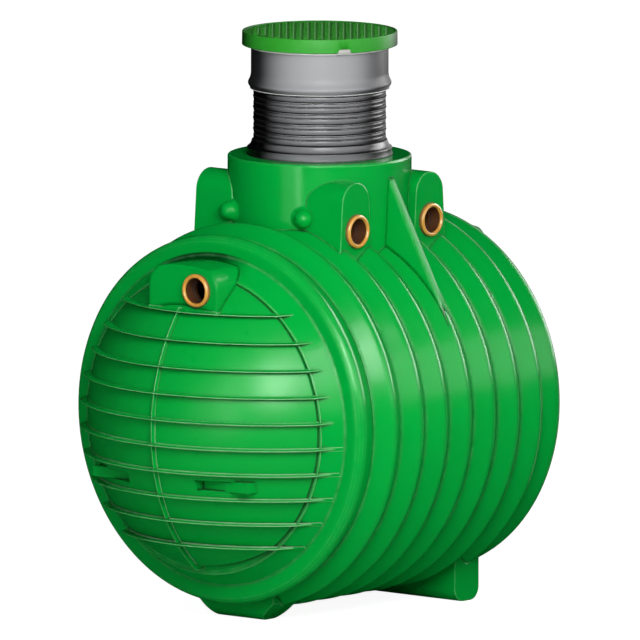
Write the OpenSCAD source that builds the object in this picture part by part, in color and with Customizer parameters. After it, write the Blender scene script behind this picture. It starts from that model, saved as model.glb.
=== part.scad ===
// Buried septic tank of moulded polyethylene: a ribbed barrel lying on its
// side between two domed ends, an access neck with pipe ports, and a
// telescopic shaft with a lift-off lid.  Millimetres, +Z up, the barrel runs
// along Y, and the feet stand on Z = 0.

/* [Barrel] */
// Gap between the barrel and the ground
ground_gap = 37; // [27:1:110]
// Distance from one hoop rib to the next
rib_pitch = 165; // [140:1:180]
// Radius over the middle hoop ribs
barrel_r = 850; // [840:1:860]
// Radius over the second and the last but one hoop rib
shoulder_r = 842; // [820:1:848]
// Height of a hoop rib over the groove beside it
rib_h = 44; // [30:1:50]
// Radius of a rib's rounded crest
crest_round = 32; // [20:1:40]
// Radius of the rounding at the bottom of a groove
groove_round = 10; // [6:1:14]
// Wall thickness of the moulded skin
wall = 12; // [8:0.5:14]

/* [Domed ends] */
// Radius over the rim that ends the barrel
rim_r = 808; // [792:1:814]
// Radius of the rounding on the rim's outer edge
rim_round = 40; // [30:1:42]
// Inner radius of the rim's flat face
rim_face_r = 723; // [715:1:735]
// Radius of the edge where the dome starts
lip_r = 659; // [650:1:675]
// How far that edge stands in front of the rim's flat face
lip_out = 92; // [80:1:98]
// Radius of the domed wall
dome_r = 805; // [800:1:815]
// Radius of the domed wall where it is level with the housings' flat faces
dome_face_r = 529; // [515:1:540]
// Radius of the large arc that cuts the dome's foot off above a flat ledge
ledge_arc_r = 792; // [780:1:800]
// Width of that ledge at its widest
ledge_w = 27; // [15:1:35]

/* [Fins on the domes] */
// Number of level fins on each dome
fin_n = 10; // [6:2:10]
// Distance from one fin to the next
fin_pitch = 113.5; // [100:0.5:118]
// Thickness of a fin
fin_t = 8; // [6:0.5:12]
// Height of a fin over the dome
fin_h = 33; // [20:1:40]
// Radius at which the fins run out
fin_reach = 708; // [700:1:714]
// Thickness of the upright spine
spine_t = 9; // [7:0.5:14]
// Height of the upright spine over the dome
spine_h = 27; // [15:1:36]

/* [Flat pads between two fins] */
// Height of the pads' middle under the barrel's axis
pad_down = 227; // [222:1:232]
// Distance of a pad's inner end from the middle
pad_x0 = 188; // [150:1:250]
// Distance of a pad's outer end from the middle
pad_x1 = 437; // [380:1:460]
// Height of a pad
pad_h = 46; // [36:1:70]
// Distance of the pads' flat face from the middle of the barrel
pad_face = 1017; // [1010:1:1025]

/* [Inlet and outlet housings on the domes] */
// Distance of a housing's flat face from the middle of the barrel
boss_face = 930; // [925:1:945]
// Width of a housing
boss_w = 384; // [340:1:400]
// Height of a housing's top over the barrel's axis
boss_top = 706; // [690:1:712]
// Rounding of a housing's top corners
boss_round = 105; // [60:1:120]
// Sideways place of the pipe socket
boss_socket_x = 80; // [60:1:100]
// Height of the pipe socket over the barrel's axis
boss_socket_z = 600; // [585:1:612]

/* [Access neck] */
// Radius of the neck
neck_r = 402; // [392:1:410]
// Height of the neck over the middle hoop rib
neck_h = 250; // [225:1:280]
// Rounding of the neck's top edge
neck_round = 9; // [6:1:16]
// Radius of the tank's opening through the barrel under the neck
manway_r = 376; // [360:1:383]
// Thickness of the webs from the neck to the middle rib, at their outer edge
gusset_t = 36; // [24:1:50]
// Slope of the webs' flanks, which are thicker inside
gusset_draft = 8; // [4:1:12]
// How far under the neck's top the webs leave it
gusset_drop = 70; // [50:1:100]

/* [Side port housings] */
// Distance of the housings' flat faces from the middle
port_face = 414; // [400:1:425]
// Distance of the housings from the middle, along the barrel
port_y = 253; // [240:1:262]
// Width of a housing, which is also twice the radius of its top
port_w = 184; // [176:1:190]
// Slope of the housings' sides, which are wider below
port_draft = 4; // [2:1:6]
// How far under the neck's top a housing ends
port_drop = 70; // [55:1:85]
// How far under a housing's top the middle of its pipe socket lies
port_socket_drop = 211; // [195:1:225]

/* [Lifting lugs] */
// Angle between a lug and the barrel's length
lug_angle = 30; // [26:1:31]
// Height of the lugs' middle over the middle hoop rib
lug_up = 17; // [10:1:30]
// Radius of a lug's round end
lug_r = 42; // [34:1:44]
// How far a lug stands out from the neck
lug_out = 46; // [40:1:60]

/* [Pipe sockets] */
// Bore that takes the pipe
socket_bore_r = 55.2; // [50:0.1:56]
// Depth of that bore
socket_depth = 62; // [50:1:80]
// Radius of the opening behind the bore
socket_throat_r = 50; // [40:1:50]
// Length of that opening
socket_throat = 22; // [10:1:30]
// Radius of the collars of the inlet and outlet
collar_r = 73; // [68:1:76]
// Radius of the side ports' collars
port_collar_r = 77; // [70:1:80]
// How far the collars stand out
collar_h = 22; // [14:1:26]
// Wall of the socket's body
socket_wall = 7; // [4:0.5:9]

/* [Feet] */
// Distance of the feet from the middle, along the barrel
foot_y = 490; // [470:1:510]
// Size of the feet along the barrel
foot_l = 165; // [140:1:180]
// Rounding of the feet's lower edges
foot_round = 58; // [40:1:65]
// Length of the rear foot, across the barrel
rear_foot_w = 870; // [760:2:920]
// Width of the front foot at the ground
front_foot_w = 250; // [210:2:300]
// Width of the front foot where it meets the barrel
front_foot_top_w = 430; // [390:2:470]

/* [Riser] */
// Radius over the riser's corrugations
riser_r = 292; // [284:1:293]
// Distance from one corrugation to the next
corr_pitch = 48; // [40:1:52]
// Depth of the corrugations
corr_d = 9; // [5:0.5:11]
// Inner radius of the riser
riser_in_r = 276; // [268:1:277]
// Height of the riser over the neck
riser_h = 400; // [390:1:410]
// Radius of the collar round the riser's foot
foot_collar_r = 319; // [308:1:330]
// Height of that collar
foot_collar_h = 66; // [50:1:80]
// Height of the collar's upright edge
foot_collar_edge = 26; // [16:1:32]

/* [Telescopic sleeve] */
// Outer radius of the sleeve
sleeve_r = 300.5; // [299:0.5:304]
// Wall of the sleeve
sleeve_wall = 4; // [3:0.1:4.5]
// How far the sleeve reaches down over the riser
sleeve_overlap = 103; // [85:1:115]
// Radius of the bead round the sleeve's lower end
bead_r = 316; // [310:1:322]
// Height of that bead
bead_h = 46; // [36:1:56]
// Height of the lining that rides on the riser
lining_h = 52; // [50:1:60]
// Running clearance round the riser
run_gap = 0.5; // [0.4:0.1:2]

/* [Lid] */
// Radius of the lid
lid_r = 340; // [334:1:350]
// Height of the lid's top over the riser
lid_rise = 142; // [135:1:165]
// Height of the lid's skirt
lid_h = 62; // [50:1:68]
// Thickness of the lid's plate
lid_t = 14; // [10:1:20]
// Thickness of the lid's skirt
skirt_t = 12; // [8:1:16]
// Angle of the catch, from the front end towards the right
catch_angle = 58; // [40:1:75]
// Width of the catch's notch
catch_w = 56; // [40:1:70]
// Height of the catch's notch
catch_h = 24; // [16:1:28]

/* [Hidden] */
$fn = 192;

green = "#009a3d";
orange = "#dc9546";
black = "#2c2c30";
grey = "#8d8f93";
lid_green = "#2f9a2e";

// Distance of a dome's centre from the middle of the barrel
dome_centre = boss_face - sqrt(dome_r * dome_r - dome_face_r * dome_face_r);
// Heights over the barrel's axis, and the axis' height over the ground
axis_h = max(barrel_r, shoulder_r, rim_r) + ground_gap;
neck_top = barrel_r + neck_h;
gusset_top = neck_top - gusset_drop;
port_top = neck_top - port_drop;
port_socket_z = port_top - port_socket_drop;
lug_z = barrel_r + lug_up;
riser_top = neck_top + riser_h;
sleeve_foot = riser_top - sleeve_overlap;
lid_top = riser_top + lid_rise;

gusset_sink = 3;                     // how deep a web's edge dips into the rib's crest
seat_gap = 0.3;                      // the lid's play on the sleeve
boss_room_drop = 4;                  // floor of an inlet housing's room under the collar
port_room_drop = 60;                 // floor of a side housing's room under the collar
collar_edge = 6;                     // chamfers of a socket's collar and mouth
mouth_edge = 3;
bead_lip = 8;                        // how far the bead hooks under the sleeve
bead_flat = [0.3, 0.42];             // the bead's widest part, of its height
lid_edge = 4;                        // chamfers of the lid's top and foot
skirt_edge = 3;
catch_sunk = 1;                      // how far the catch lies behind the skirt
half_n = 4;                          // hoop ribs on each side of the middle one
rim_y = half_n * rib_pitch;          // the end rims' crest
seam_y = rim_y - rib_pitch / 2;      // where barrel and end meet, in a groove
rim_face_y = rim_y + rim_round;      // the end rims' flat face
lip_y = rim_face_y + lip_out;        // the edge where the dome starts
seam_r = lip_r - wall;               // where rim and dome meet
far = 3000;                          // longer than the tank

// Radius over hoop rib i, counted from the middle one, and of the groove
// on its outer side.
function rib_r(i) = abs(i) == half_n ? rim_r : abs(i) == half_n - 1 ? shoulder_r : barrel_r;
function groove_r(i) = (rib_r(i) + rib_r(i + 1)) / 2 - rib_h;
function crest(i) = abs(i) == half_n ? rim_round : crest_round;

// Slope of the straight flank that joins a crest arc of radius a to a groove
// arc of radius b, half a pitch further on and h lower.
function flank(a, b, h) =
    let (s = a + b, c = rib_pitch / 2)
    asin(s / norm([c, s - h])) - atan2(s - h, c);
function slope_out(i) = flank(crest(i), groove_round, rib_r(i) - groove_r(i));
function slope_in(i) = flank(crest(i), groove_round, rib_r(i) - groove_r(i - 1));

function steps(a, b, n) = [for (k = [0:n]) a + (b - a) * k / n];
crest_steps = 5;
groove_steps = 3;

// One rib's crest and one groove's bottom as arcs of [radius, y], moved
// inwards by inset.
function crest_arc(i, inset, a0, a1) =
    [for (t = steps(a0, a1, crest_steps))
        [rib_r(i) - crest(i) + (crest(i) - inset) * cos(t), i * rib_pitch + (crest(i) - inset) * sin(t)]];
function groove_arc(i, inset, a0, a1) =
    [for (t = steps(a0, a1, groove_steps))
        [groove_r(i) + groove_round - (groove_round + inset) * cos(t),
         (i + 0.5) * rib_pitch + (groove_round + inset) * sin(t)]];

// The barrel's outline between the two seams.
function barrel_line(inset) = concat(
    groove_arc(-half_n, inset, 0, slope_in(1 - half_n)),
    [for (i = [1 - half_n:half_n - 1]) each concat(
        crest_arc(i, inset, -slope_in(i), slope_out(i)),
        i < half_n - 1 ? groove_arc(i, inset, -slope_out(i), slope_in(i + 1)) : [])],
    groove_arc(half_n - 1, inset, -slope_out(half_n - 1), 0));

// The rim's outline from the seam to the lip.  The skin's inner side follows
// it at the wall's thickness.
flank_dir = [lip_r - rim_face_r, lip_out] / norm([lip_r - rim_face_r, lip_out]);
inner_face_y = rim_face_y - wall;
function inner_flank_r(y) =
    rim_face_r - wall * flank_dir[1] + (y - (rim_face_y + wall * flank_dir[0])) * flank_dir[0] / flank_dir[1];
function rim_line(inset) = concat(
    groove_arc(half_n - 1, inset, 0, slope_in(half_n)),
    crest_arc(half_n, inset, -slope_in(half_n), 90));
function rim_outer() = concat(rim_line(0), [[rim_face_r, rim_face_y], [lip_r, lip_y], [seam_r, lip_y]]);
function rim_inner() = concat(rim_line(wall),
    [[inner_flank_r(inner_face_y), inner_face_y], [inner_flank_r(lip_y - wall), lip_y - wall],
     [seam_r, lip_y - wall]]);

function reversed(v) = [for (k = [len(v) - 1:-1:0]) v[k]];
function flip_y(v) = [for (p = reversed(v)) [p[0], -p[1]]];

// Things of the tank are drawn round its own axis, as if it ran through the
// origin.
module on_axis() translate([0, 0, axis_h]) children();
module turned() rotate([-90, 0, 0]) rotate_extrude() children();
module front() mirror([0, 1, 0]) children();
module left() mirror([1, 0, 0]) children();
module along_y(r, y0, y1) translate([0, y0, 0]) rotate([-90, 0, 0]) cylinder(r = r, h = y1 - y0);

// --- Barrel and ends -------------------------------------------------------

module barrel_solid(inset)
    turned() polygon(concat([[0, -seam_y]], barrel_line(inset), [[0, seam_y]]));

module rear_rim_solid()
    turned() polygon(concat([[0, seam_y]], rim_outer(), [[0, lip_y]]));

module dome_ball(r) translate([0, dome_centre, 0]) sphere(r = r);

// The dome outside its seam's plane, with the foot cut off above the ledge.
module rear_dome_solid() intersection() {
    dome_ball(dome_r);
    along_y(seam_r, lip_y, lip_y + far);
    above_ledge(0);
}
module above_ledge(inset)
    translate([0, 0, ledge_arc_r - (seam_r - ledge_w)]) along_y(ledge_arc_r - inset, 0, far);
module dome_room() intersection() {
    dome_ball(dome_r - wall);
    above_ledge(wall);
    along_y(seam_r - wall / 2, 0, far);
}

// Everything that the skin of the barrel and its ends encloses.
module body_solid() {
    barrel_solid(0);
    rear_rim_solid();
    rear_dome_solid();
    front() { rear_rim_solid(); rear_dome_solid(); }
}

module barrel_shell() color(green) on_axis() difference() {
    turned() polygon(concat(barrel_line(0), reversed(barrel_line(wall))));
    neck_bar(manway_r, far);
    for (s = [-1, 1]) for (m = [0, 1]) mirror([m, 0, 0]) port_room(s);
}

module rear_rim_ring() turned() polygon(concat(rim_outer(), reversed(rim_inner())));

module rear_rim() color(green) on_axis() difference() {
    rear_rim_ring();
    boss_room();
}
module front_rim() color(green) on_axis() front() difference() {
    rear_rim_ring();
    boss_room();
}

module dome_skin() difference() {
    union() {
        rear_dome_solid();
        along_y(seam_r, lip_y - wall, lip_y);
    }
    dome_room();
    boss_room();
    pad_trays();
}
module rear_dome() color(green) on_axis() dome_skin();
module front_dome() color(green) on_axis() front() dome_skin();

// --- Fins and spine --------------------------------------------------------

module fin_slabs()
    for (k = [0:fin_n - 1])
        translate([-far / 2, rim_face_y, (k - (fin_n - 1) / 2) * fin_pitch - fin_t / 2])
            cube([far, far, fin_t]);

module spine_slab(t) translate([-t / 2, rim_face_y, -far / 2]) cube([t, far, far]);

module end_solid() {
    rear_rim_solid();
    rear_dome_solid();
}

module fins() difference() {
    intersection() {
        fin_slabs();
        dome_ball(dome_r + fin_h);
        along_y(fin_reach, 0, far);
    }
    end_solid();
    spine_slab(spine_t);
    boss_block(0);
    pads_proud();
}
module rear_fins() color(green) on_axis() fins();
module front_fins() color(green) on_axis() front() fins();

module spine() difference() {
    intersection() {
        spine_slab(spine_t);
        dome_ball(dome_r + spine_h);
        along_y(lip_r, 0, far);
    }
    end_solid();
    boss_block(0);
    translate([-far / 2, 0, boss_socket_z - collar_r]) cube([far, far, far]);
}
module rear_spine() color(green) on_axis() spine();
module front_spine() color(green) on_axis() front() spine();

// --- Flat pads -------------------------------------------------------------

// A box on each side of the spine, as long and high as a pad and grown by t,
// from y0 outwards.
module pad_boxes(t, y0, depth)
    for (m = [0, 1]) mirror([m, 0, 0])
        translate([pad_x0 - t, y0, -pad_down - pad_h / 2 - t])
            cube([pad_x1 - pad_x0 + 2 * t, depth, pad_h + 2 * t]);
module pads_proud() pad_boxes(0, rim_face_y, pad_face - rim_face_y);
module pad_trays() pad_boxes(wall, pad_face - wall, far);

// A pad's face lies outside the dome at its outer end.  Towards the spine it
// lies inside, at the bottom of a tray.
module pads() difference() {
    union() {
        difference() {
            pads_proud();
            dome_ball(dome_r);
        }
        intersection() {
            pad_trays();
            dome_ball(dome_r);
        }
    }
    pad_boxes(0, pad_face, far);
}
module rear_pads() color(green) on_axis() pads();
module front_pads() color(green) on_axis() front() pads();

// --- Housings of the inlet and outlet --------------------------------------

// An upright block with a rounded top that follows the rim, drawn towards +Y.
module boss_block(inset) intersection() {
    translate([0, rim_face_y - wall, 0]) rotate([90, 0, 0]) mirror([0, 0, 1])
        linear_extrude(boss_face - inset - (rim_face_y - wall)) union() {
            translate([-boss_w / 2 + inset, 0])
                square([boss_w - 2 * inset, boss_top - boss_round]);
            translate([-boss_w / 2 + boss_round, 0])
                square([boss_w - 2 * boss_round, boss_top]);
            for (s = [-1, 1])
                translate([s * (boss_w / 2 - boss_round), boss_top - boss_round])
                    circle(r = boss_round - inset);
        }
    along_y(boss_top - inset, 0, far);
}

// The room inside the housing, open to the tank.
module boss_room() intersection() {
    boss_block(wall);
    translate([-far / 2, 0, boss_socket_z - collar_r - boss_room_drop]) cube([far, far, far]);
}

module housing() difference() {
    boss_block(0);
    end_solid();
    boss_room();
    boss_at() cylinder(r = socket_bore_r + socket_wall, h = far, center = true);
}
module outlet_housing() color(green) on_axis() housing();
module inlet_housing() color(green) on_axis() front() housing();

// --- Access neck -----------------------------------------------------------

// Round bars on the neck's axis are turned a little, so that the line where
// their surface closes lies clear of the edges of the ribs.
neck_turn = 21;
module neck_bar(r, h) rotate(neck_turn) cylinder(r = r, h = h);
module neck_solid() neck_bar(neck_r, neck_top);

module access_neck() color(green) on_axis() difference() {
    rotate(neck_turn) rotate_extrude() difference() {
        union() {
            square([neck_r - neck_round, neck_top]);
            square([neck_r, neck_top - neck_round]);
            translate([neck_r - neck_round, neck_top - neck_round]) circle(r = neck_round);
        }
        square([neck_r - wall, neck_top - wall]);
        square([riser_r - corr_d, far]);
    }
    barrel_solid(0);
    for (s = [-1, 1]) for (m = [0, 1]) mirror([m, 0, 0]) port_room(s);
}

// A web whose sloping edge leaves the neck and touches the middle rib.
// The wedge is drawn along that edge, which is gusset_touch_r from the axis.
gusset_touch_r = barrel_r - gusset_sink;
gusset_tilt = atan2(gusset_top, neck_r) - acos(gusset_touch_r / norm([neck_r, gusset_top]));
gusset_l = sqrt(pow(norm([neck_r, gusset_top]), 2) - pow(gusset_touch_r, 2));
gusset_deep = gusset_touch_r / 2;
module gusset() difference() {
    rotate([0, -gusset_tilt, 0]) translate([gusset_touch_r, 0, 0]) linear_extrude(gusset_l) polygon([
        [0, -gusset_t / 2], [0, gusset_t / 2],
        [-gusset_deep, gusset_t / 2 + gusset_deep * tan(gusset_draft)],
        [-gusset_deep, -gusset_t / 2 - gusset_deep * tan(gusset_draft)]]);
    barrel_solid(0);
    neck_solid();
}
module right_gusset() color(green) on_axis() gusset();
module left_gusset() color(green) on_axis() left() gusset();

// --- Side port housings ----------------------------------------------------

// Cross-section of a side housing: a round top whose sides slope outwards.
module port_section(r) {
    translate([0, port_top - port_w / 2]) circle(r = r);
    translate([0, port_top - port_w / 2]) polygon([
        [r, 0], [-r, 0],
        [-r - port_deep * tan(port_draft), -port_deep], [r + port_deep * tan(port_draft), -port_deep]]);
}
port_deep = port_top - port_w / 2;
module port_block(s, inset)
    translate([0, s * port_y, 0]) rotate([90, 0, 90])
        linear_extrude(port_face - inset) port_section(port_w / 2 - inset);

// The room inside a side housing, open to the neck and to the barrel.
module port_room(s) intersection() {
    port_block(s, wall);
    translate([0, -far / 2, port_socket_z - port_collar_r - port_room_drop]) cube([far, far, far]);
}

module port(s) difference() {
    port_block(s, 0);
    barrel_solid(0);
    neck_solid();
    port_room(s);
    port_at(s) cylinder(r = socket_bore_r + socket_wall, h = far, center = true);
    mirror([0, s < 0 ? 1 : 0, 0]) lug_peg();
}
module rear_right_port() color(green) on_axis() port(1);
module rear_left_port() color(green) on_axis() left() port(1);
module front_right_port() color(green) on_axis() port(-1);
module front_left_port() color(green) on_axis() left() port(-1);

// --- Lifting lugs ----------------------------------------------------------

// A round peg with a ball end, drawn out from the neck's axis.
module lug_peg()
    rotate([0, 0, 90 - lug_angle]) translate([0, 0, lug_z]) rotate([0, 90, 0]) rotate(neck_turn)
        rotate_extrude() intersection() {
            union() {
                square([lug_r, neck_r + lug_out - lug_r]);
                translate([0, neck_r + lug_out - lug_r]) circle(r = lug_r);
            }
            translate([0, neck_r - 2 * lug_r]) square([lug_r, far]);
        }
module lug() difference() {
    lug_peg();
    barrel_solid(0);
    neck_solid();
}
module rear_right_lug() color(green) on_axis() lug();
module rear_left_lug() color(green) on_axis() left() lug();
module front_right_lug() color(green) on_axis() front() lug();
module front_left_lug() color(green) on_axis() front() left() lug();

// --- Feet ------------------------------------------------------------------

// A beam's cross-section with rounded lower edges, in Y and Z.
module foot_section() union() {
    translate([-foot_l / 2, foot_round]) square([foot_l, barrel_r]);
    translate([-foot_l / 2 + foot_round, 0]) square([foot_l - 2 * foot_round, barrel_r]);
    for (s = [-1, 1]) translate([s * (foot_l / 2 - foot_round), foot_round]) circle(r = foot_round);
}

module foot_beam(w) translate([-w / 2, 0, 0]) rotate([90, 0, 90]) linear_extrude(w) foot_section();

module rear_foot() color(green) difference() {
    translate([0, foot_y, 0]) foot_beam(rear_foot_w);
    on_axis() body_solid();
    translate([-far / 2, -far / 2, axis_h / 2]) cube(far);
}

module front_foot() color(green) difference() {
    intersection() {
        translate([0, -foot_y, 0]) foot_beam(front_foot_top_w);
        rotate([90, 0, 0]) linear_extrude(far, center = true) polygon([
            [-front_foot_w / 2, 0], [front_foot_w / 2, 0],
            [front_foot_top_w / 2, foot_l / 2], [front_foot_top_w / 2, axis_h / 2],
            [-front_foot_top_w / 2, axis_h / 2], [-front_foot_top_w / 2, foot_l / 2]]);
    }
    on_axis() body_solid();
}

// --- Pipe sockets ----------------------------------------------------------

// Drawn along +Z from the housing's face, with its mouth up.
module socket(r) color(orange) rotate_extrude() polygon([
    [socket_throat_r, collar_h - socket_depth - socket_throat],
    [socket_bore_r + socket_wall, collar_h - socket_depth - socket_throat],
    [socket_bore_r + socket_wall, 0],
    [r, 0],
    [r, collar_h - collar_edge],
    [r - collar_edge, collar_h],
    [socket_bore_r + mouth_edge, collar_h],
    [socket_bore_r, collar_h - mouth_edge],
    [socket_bore_r, collar_h - socket_depth],
    [socket_throat_r, collar_h - socket_depth]
]);
module boss_at() translate([boss_socket_x, boss_face, boss_socket_z]) rotate([-90, 0, 0]) children();
module port_at(s) translate([port_face, s * port_y, port_socket_z]) rotate([0, 90, 0]) children();

module outlet_socket() on_axis() boss_at() socket(collar_r);
module inlet_socket() on_axis() front() boss_at() socket(collar_r);
module rear_right_socket() on_axis() port_at(1) socket(port_collar_r);
module rear_left_socket() on_axis() left() port_at(1) socket(port_collar_r);
module front_right_socket() on_axis() port_at(-1) socket(port_collar_r);
module front_left_socket() on_axis() left() port_at(-1) socket(port_collar_r);

// --- Shaft -----------------------------------------------------------------

riser_foot = neck_top - wall;                 // the riser stands on the neck's ledge
corr_start = neck_top + foot_collar_h;        // the plain foot ends in the collar
corr_n = floor((riser_top - corr_start) / corr_pitch);
groove_at = riser_r - corr_d;                 // radius in the grooves

// Outline of one corrugation: a rounded crest with a groove above it.
function corrugation(z) = [for (t = [0:15:345])
    [(riser_r + groove_at) / 2 - corr_d / 2 * cos(t), z + corr_pitch * t / 360]];

module riser_tube() color(black) on_axis() rotate_extrude() polygon(concat(
    [[riser_in_r, riser_foot], [groove_at, riser_foot], [groove_at, corr_start]],
    [for (k = [0:corr_n - 1]) each corrugation(corr_start + k * corr_pitch)],
    [[groove_at, corr_start + corr_n * corr_pitch], [groove_at, riser_top], [riser_in_r, riser_top]]));

module riser_collar() color(black) on_axis() rotate_extrude() polygon(concat(
    [[groove_at, neck_top], [foot_collar_r, neck_top], [foot_collar_r, neck_top + foot_collar_edge]],
    [for (t = [15:15:90])
        [foot_collar_r - (foot_collar_r - riser_r) * sin(t),
         neck_top + foot_collar_edge + (foot_collar_h - foot_collar_edge) * (1 - cos(t))]],
    [[groove_at, corr_start]]));

sleeve_top = lid_top - lid_t - seat_gap;

module sleeve_tube() color(grey) on_axis() translate([0, 0, sleeve_foot]) difference() {
    cylinder(r = sleeve_r, h = sleeve_top - sleeve_foot);
    translate([0, 0, -1]) cylinder(r = sleeve_r - sleeve_wall, h = far);
}

// The bead outside the sleeve's lower end, hooked round it, with a lining
// inside that rides on the riser's corrugations.
module sleeve_bead() color(grey) on_axis() translate([0, 0, sleeve_foot]) rotate_extrude() polygon([
    [riser_r + run_gap, -bead_lip], [sleeve_r, -bead_lip],
    [bead_r, bead_h * bead_flat[0]], [bead_r, bead_h * bead_flat[1]],
    [sleeve_r, bead_h], [sleeve_r, 0], [sleeve_r - sleeve_wall, 0],
    [sleeve_r - sleeve_wall, lining_h], [riser_r + run_gap, lining_h]
]);

// --- Lid -------------------------------------------------------------------

module lid_cover() color(lid_green) on_axis() difference() {
    rotate_extrude() polygon([
        [0, lid_top], [lid_r - lid_edge, lid_top], [lid_r, lid_top - lid_edge],
        [lid_r, lid_top - lid_h + skirt_edge], [lid_r - skirt_edge, lid_top - lid_h],
        [lid_r - skirt_t, lid_top - lid_h], [lid_r - skirt_t, lid_top - lid_t], [0, lid_top - lid_t]
    ]);
    catch_at() cube([4 * skirt_t, catch_w, 2 * catch_h], center = true);
}

// Middle of the catch, at the foot of the skirt.
module catch_at() rotate([0, 0, catch_angle - 90])
    translate([lid_r - skirt_t / 2, 0, lid_top - lid_h]) children();

module lid_catch() color(grey) on_axis() intersection() {
    catch_at() translate([-skirt_t, -catch_w / 2, 0]) cube([1.5 * skirt_t, catch_w, catch_h]);
    cylinder(r = lid_r - catch_sunk, h = far);
}

barrel_shell();
front_rim();
rear_rim();
front_dome();
rear_dome();
front_fins();
rear_fins();
front_spine();
rear_spine();
front_pads();
rear_pads();
inlet_housing();
outlet_housing();
access_neck();
right_gusset();
left_gusset();
front_right_port();
front_left_port();
rear_right_port();
rear_left_port();
front_right_lug();
front_left_lug();
rear_right_lug();
rear_left_lug();
front_foot();
rear_foot();
inlet_socket();
outlet_socket();
front_right_socket();
front_left_socket();
rear_right_socket();
rear_left_socket();
riser_tube();
riser_collar();
sleeve_tube();
sleeve_bead();
lid_cover();
lid_catch();
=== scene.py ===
# %% [markdown]
# # A buried septic tank
#
# The tank is one large plastic moulding: a ribbed barrel on its side, a domed
# wall at each end, and a short neck on top.  A corrugated riser, a sliding
# sleeve and a lid stand on the neck.  The shapes of the moulding come ready
# made, as the frame that this script loads.  What is left to do here is what
# the eye reads as plastic: rounded edges, grain, gloss, colour and small parts.
# All lengths are in metres, with Z up.

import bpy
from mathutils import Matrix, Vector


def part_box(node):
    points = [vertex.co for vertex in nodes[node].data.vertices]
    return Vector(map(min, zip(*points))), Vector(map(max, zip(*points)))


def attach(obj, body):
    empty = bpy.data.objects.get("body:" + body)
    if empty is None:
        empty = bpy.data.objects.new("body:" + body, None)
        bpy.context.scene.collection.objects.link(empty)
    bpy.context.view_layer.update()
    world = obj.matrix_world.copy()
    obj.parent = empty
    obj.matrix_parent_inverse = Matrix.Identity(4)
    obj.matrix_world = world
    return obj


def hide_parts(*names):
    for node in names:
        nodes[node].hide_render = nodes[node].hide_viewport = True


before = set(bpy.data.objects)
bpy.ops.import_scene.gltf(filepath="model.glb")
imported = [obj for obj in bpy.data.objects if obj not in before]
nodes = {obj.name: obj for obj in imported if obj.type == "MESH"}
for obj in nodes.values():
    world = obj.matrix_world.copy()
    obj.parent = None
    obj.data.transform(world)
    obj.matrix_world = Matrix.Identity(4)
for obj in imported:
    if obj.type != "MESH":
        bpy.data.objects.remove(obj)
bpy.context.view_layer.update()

# %% Tools used throughout
import math

import bmesh
import bpy
from mathutils import Matrix, Vector

scene = bpy.context.scene

# %% [markdown]
# ## Camera
#
# A long lens far away keeps the tank's upright edges parallel, as in a
# catalogue picture.  It looks from the front right and a little from above.
# The lens length follows from how wide a strip of the world the picture shows.
# From still further away the upright edges would be straighter, but a camera
# that turns round the tank with the same lens cuts its view off at a hundred
# times the tank's size, and this distance stays inside that.

# %% Camera
VIEW_AZIMUTH = math.radians(39.45)
VIEW_ELEVATION = math.radians(7.9)
VIEW_ROLL = math.radians(0.10)
VIEW_DISTANCE = 120.0
VIEW_WIDTH = 2.795
VIEW_CENTRE = Vector((0.004, 0.0, 1.253))
SENSOR_WIDTH = 0.036
CLIP_NEAR, CLIP_FAR = 10.0, 800.0

camera_data = bpy.data.cameras.new("catalogue_camera")
camera_data.sensor_width = SENSOR_WIDTH * 1000
camera_data.lens = SENSOR_WIDTH * 1000 * VIEW_DISTANCE / VIEW_WIDTH
camera_data.clip_start = CLIP_NEAR
camera_data.clip_end = CLIP_FAR
camera = bpy.data.objects.new("catalogue_camera", camera_data)
scene.collection.objects.link(camera)
scene.camera = camera

to_camera = Vector((
    math.sin(VIEW_AZIMUTH) * math.cos(VIEW_ELEVATION),
    -math.cos(VIEW_AZIMUTH) * math.cos(VIEW_ELEVATION),
    math.sin(VIEW_ELEVATION),
))
camera.location = VIEW_CENTRE + to_camera * VIEW_DISTANCE
camera.rotation_euler = (
    (-to_camera).to_track_quat("-Z", "Y").to_matrix() @ Matrix.Rotation(VIEW_ROLL, 3, "Z")
).to_euler()
print("camera at", tuple(round(v, 2) for v in camera.location),
      "lens", round(camera_data.lens), "mm")

# %% [markdown]
# ## Materials: small helpers
#
# A node material is a graph.  Two helpers keep the cells below short: one adds
# a node and fills its sockets, and one makes a node group with named sockets.
# A value given to a socket may be a number, a colour or another node's output.


# %% Node helpers
def srgb(r, g, b):
    """A colour as a paint chart gives it, 0 to 255, made linear for the shader."""
    def linear(v):
        v /= 255
        return v / 12.92 if v <= 0.04045 else ((v + 0.055) / 1.055) ** 2.4
    return (linear(r), linear(g), linear(b), 1.0)


def add(tree, kind, inputs=None, **settings):
    """Adds a node, sets its properties, then fills or links its inputs."""
    node = tree.nodes.new(kind)
    for key, value in settings.items():
        setattr(node, key, value)
    for key, value in (inputs or {}).items():
        if isinstance(value, bpy.types.NodeSocket):
            tree.links.new(value, node.inputs[key])
        else:
            node.inputs[key].default_value = value
    return node


def new_group(name, inputs, outputs):
    """A node group with named sockets.  Returns the tree and its two end nodes."""
    tree = bpy.data.node_groups.new(name, "ShaderNodeTree")
    for socket_name, (kind, value) in inputs.items():
        socket = tree.interface.new_socket(name=socket_name, in_out="INPUT", socket_type=kind)
        if value is not None:
            socket.default_value = value
    for socket_name, kind in outputs.items():
        tree.interface.new_socket(name=socket_name, in_out="OUTPUT", socket_type=kind)
    return tree, tree.nodes.new("NodeGroupInput"), tree.nodes.new("NodeGroupOutput")


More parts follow.
